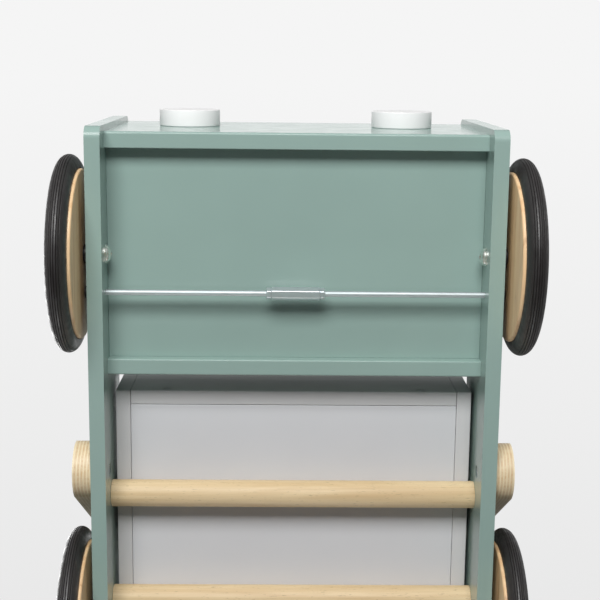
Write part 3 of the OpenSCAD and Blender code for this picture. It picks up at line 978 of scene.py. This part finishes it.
def brake_rod(word):
    """A rod with threads where the sleeve, the lock nut and the pad sit."""
    body = f"brake_rod_{word}"
    x_in, x_out = reach(body)
    threads = [(x_in + INNER_TIP, INNER_THREAD_END), (x_out - OUTER_THREAD, x_out - OUTER_TIP)]
    obj = threaded_rod(f"{body}_threaded", SIDES[word], x_in, x_out, threads)
    place(obj, body, "zinc_steel", body)


def brake_pad(word):
    """A moulded pad that closes over the outer end of its rod."""
    node = f"brake_pad_{word}"
    x_in, x_out = reach(node)
    floor = x_out - PAD_FACE
    profile = [(PAD_BORE_R, x_in)] + tube_edges(PAD_R, x_in, x_out, PAD_EDGE, 4)
    profile += [(0, x_out), (0, floor), (PAD_BORE_R, floor)]
    obj = turned(f"{node}_moulded", profile, SIDES[word], ROD_Y, ROD_Z, "pad",
                 steps=64, closed=True)
    place(obj, f"brake_rod_{word}", "pad_rubber", node)


hexagon("brake_sleeve_hexagon", "brake_sleeve", "brake_sleeve", SLEEVE_ACROSS, SLEEVE_BORE_R)
for word in SIDES:
    brake_rod(word)
    hexagon(f"lock_nut_{word}_hexagon", f"lock_nut_{word}", f"brake_rod_{word}",
            NUT_ACROSS, NUT_BORE_R)
    brake_pad(word)


# ---------------------------------------------------------------- crate
CRATE_EDGE = 0.9 * MM
CRATE_FLOOR_EDGE = 0.6 * MM
JOINT_GAP = 0.25 * MM
CRATE_OUT = high("crate_side_right").x
# Screws through the sides into the end boards: two at each corner, as (y, z)
SIDE_SCREW_HEIGHTS = (low("crate_side_left").z + 34 * MM, high("crate_side_right").z - 24 * MM)
SIDE_SCREWS = [(centre(f"crate_{end}_board").y, z) for end in AXLES for z in SIDE_SCREW_HEIGHTS]
# Screws through the end boards into the floor
BOARD_SCREW_X = 114 * MM
BOARD_SCREW_Z = centre("crate_floor").z
BOARD_SCREW_DEPTH = 5.3 * MM
BOARD_SCREW_SINK = 1.2 * MM
# Outer faces of the end boards, each with the direction that leads into the crate
CRATE_ENDS = {"front": (low("crate_front_board").y, 1), "rear": (high("crate_rear_board").y, -1)}


def crate_piece(obj, node, slot):
    """Lets a board ride on the crate, in place of its CAD node."""
    weigh_normals(obj)
    place(obj, "crate", slot, node)


def crate_side(word):
    """A side board with holes for the screws into the end boards."""
    node = f"crate_side_{word}"
    obj = board(node + "_board", low(node), high(node), CRATE_EDGE, "grey", segments=3)
    holes = [(SIDES[word], CRATE_OUT - SCREW_HOLE_DEPTH, CRATE_OUT + PAST, y, z, SCREW_HOLE_R)
             for y, z in SIDE_SCREWS]
    cut(obj, plugs(holes, "grey"))
    crate_piece(obj, node, "grey_paint")


def crate_end(end):
    """An end board between the sides, with holes for the screws into the floor."""
    node = f"crate_{end}_board"
    gap = Vector((JOINT_GAP, 0.0, 0.0))
    obj = board(node + "_panel", low(node) + gap, high(node) - gap, CRATE_EDGE, "grey",
                segments=3)
    hole = [(0, -PAST), (SCREW_HOLE_R, -PAST), (SCREW_HOLE_R, BOARD_SCREW_DEPTH),
            (0, BOARD_SCREW_DEPTH)]
    bm = bmesh.new()
    for s in SIDES.values():
        turned_along_y(bm, hole, s * BOARD_SCREW_X, *CRATE_ENDS[end], BOARD_SCREW_Z)
    cut(obj, object_from("cutter", bm, "grey"))
    crate_piece(obj, node, "grey_paint")


def crate_floor():
    """The floor, a quarter of a millimetre clear of the boards around it."""
    gap = Vector((JOINT_GAP, JOINT_GAP, 0.0))
    obj = board("crate_floor_panel", low("crate_floor") + gap, high("crate_floor") - gap,
                CRATE_FLOOR_EDGE, "pale_grey", segments=3)
    crate_piece(obj, "crate_floor", "pale_grey_paint")


def crate_screws():
    """All the crate's screw heads, as one piece."""
    bm = bmesh.new()
    board_head = [(r * MM, BOARD_SCREW_SINK + depth * MM) for r, depth in BOARD_HEAD]
    for s in SIDES.values():
        for y, z in SIDE_SCREWS:
            sunk_head(bm, CRATE_HEAD, s, CRATE_OUT - SCREW_SINK, y, z, steps=40)
        for end in CRATE_ENDS.values():
            turned_along_y(bm, board_head, s * BOARD_SCREW_X, *end, BOARD_SCREW_Z)
    place(object_from("crate_screw_heads", bm, "zinc"), "crate", "zinc_steel", "crate_screws")


for word in SIDES:
    crate_side(word)
for end in CRATE_ENDS:
    crate_end(end)
crate_floor()
crate_screws()


# ---------------------------------------------------------------- CAD pieces that keep their shape
def dress(node, material):
    """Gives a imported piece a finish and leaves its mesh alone."""
    materials = frame["nodes"][node].data.materials
    materials.clear()
    materials.append(LOOK[material])


dress("handle_arm_nuts", "zinc")
dress("axle_nuts", "nickel")
for end in AXLES:
    for word in SIDES:
        dress(f"hub_bush_{end}_{word}", "black")


# ---------------------------------------------------------------- stage, light and camera
GROUND_HALF = 9.0
GROUND_TONE = (0.88, 0.88, 0.875)
PAPER_NEAR = srgb(245, 245, 245)
PAPER_FAR = srgb(233, 233, 233)
# Each pair bounds a ramp over one axis of a ray's direction
PAPER_RAMP = (0.02, 0.40)
FILL_RAMP = (-0.24, -0.06)
FILL_BELOW = 0.1
FILL_ABOVE = 0.36
# The strip's middle, half width and half soft edge in a direction's y, and its strength
STRIP_Y = -0.06
STRIP_HALF = 0.13
STRIP_SOFT = 0.04
STRIP_GLOW = 0.68


def stage_floor():
    """A pale ground that only the camera and reflections see, and only from above."""
    bm = bmesh.new()
    corners = ((-1, -1), (1, -1), (1, 1), (-1, 1))
    bm.faces.new([bm.verts.new((x * GROUND_HALF, y * GROUND_HALF, 0.0)) for x, y in corners])
    mesh = bpy.data.meshes.new("ground")
    bm.to_mesh(mesh)
    bm.free()
    material = bpy.data.materials.new("ground_paper")
    n = Nodes(material)
    paper = n.add("BsdfDiffuse")
    n.put_all(paper, Color=GROUND_TONE)
    ray = n.add("LightPath").outputs
    seen = n.math("MAXIMUM", ray["Is Camera Ray"], ray["Is Glossy Ray"])
    from_above = n.math("SUBTRACT", seen, n.add("NewGeometry").outputs["Backfacing"], clamp=True)
    n.show(from_above, n.add("BsdfTransparent").outputs[0], paper.outputs[0], "OutputMaterial")
    mesh.materials.append(material)
    obj = scene_object("ground", mesh)


def world():
    """Pale studio paper behind the truck, a soft fill, and a bright strip in reflections."""
    bpy.context.scene.world = bpy.data.worlds.new("studio")
    n = Nodes(bpy.context.scene.world)
    split = n.add("SeparateXYZ")
    n.put(split.inputs[0], n.add("TexCoord").outputs["Generated"])
    y, z = split.outputs[1], split.outputs[2]
    ray = n.add("LightPath").outputs
    paper = n.add("Background")
    n.put_all(paper, Color=n.mix(n.span(y, *PAPER_RAMP, ease="LINEAR"), PAPER_NEAR, PAPER_FAR))
    rise = n.span(z, *FILL_RAMP, FILL_BELOW, FILL_ABOVE, ease="LINEAR")
    aside = n.math("ABSOLUTE", n.math("SUBTRACT", y, STRIP_Y))
    strip = n.span(aside, STRIP_HALF - STRIP_SOFT, STRIP_HALF + STRIP_SOFT, STRIP_GLOW, 0.0)
    upward = n.math("MULTIPLY", z, ray["Is Glossy Ray"], clamp=True)
    fill = n.add("Background")
    n.put_all(fill, Color=(1.0, 1.0, 1.0),
              Strength=n.math("ADD", rise, n.math("MULTIPLY", strip, upward)))
    n.show(ray["Is Camera Ray"], fill.outputs[0], paper.outputs[0], "OutputWorld")


LAMP_TARGET = Vector((0.0, -0.08, 0.12))


def lamp(name, direction, distance, width, depth, power):
    """A rectangular soft box that shines at the truck from a direction."""
    data = bpy.data.lights.new(name, "AREA")
    data.shape = "RECTANGLE"
    data.size = width
    data.size_y = depth
    data.energy = power
    obj = scene_object(name, data)
    obj.location = LAMP_TARGET + Vector(direction).normalized() * distance
    obj.rotation_mode = "QUATERNION"
    obj.rotation_quaternion = (LAMP_TARGET - obj.location).to_track_quat("-Z", "Y")


stage_floor()
world()
lamp("key_below", (-0.15, -1.03, -1.0), distance=2.2, width=1.27, depth=0.79, power=56.0)
lamp("low_rear", (-0.1, 1.0, -0.25), distance=2.8, width=1.2, depth=0.8, power=14.0)
lamp("key_above", (-0.6, 0.35, 1.0), distance=2.8, width=1.2, depth=1.2, power=34.0)


CAMERA_EYE = Vector((-14.84, -313.44, -982.99)) * MM
# Degrees from straight up: pitch towards the rear, yaw to the right, roll about the view
CAMERA_TURNS = (10.746, 1.0018, 0.6401)
SENSOR_WIDTH = 36.0
CAMERA_LENS = 76.11


def camera():
    """Below the ground, looking up at the underside of the cab."""
    pitch, yaw, roll = (math.radians(a) for a in CAMERA_TURNS)
    ahead = Vector((math.sin(yaw) * math.cos(pitch), math.sin(pitch),
                    math.cos(yaw) * math.cos(pitch)))
    right = Vector((math.cos(yaw), 0.0, -math.sin(yaw)))
    up = right.cross(ahead)
    turned_right = right * math.cos(roll) + up * math.sin(roll)
    turned_up = up * math.cos(roll) - right * math.sin(roll)
    data = bpy.data.cameras.new("camera")
    data.sensor_width = SENSOR_WIDTH
    data.lens = CAMERA_LENS
    data.clip_start = 0.05
    data.clip_end = 60.0
    obj = scene_object("camera", data)
    basis = Matrix((turned_right, turned_up, -ahead)).transposed()
    obj.matrix_world = Matrix.Translation(CAMERA_EYE) @ basis.to_4x4()
    bpy.context.scene.camera = obj


camera()
bpy.context.scene.view_settings.view_transform = "Standard"
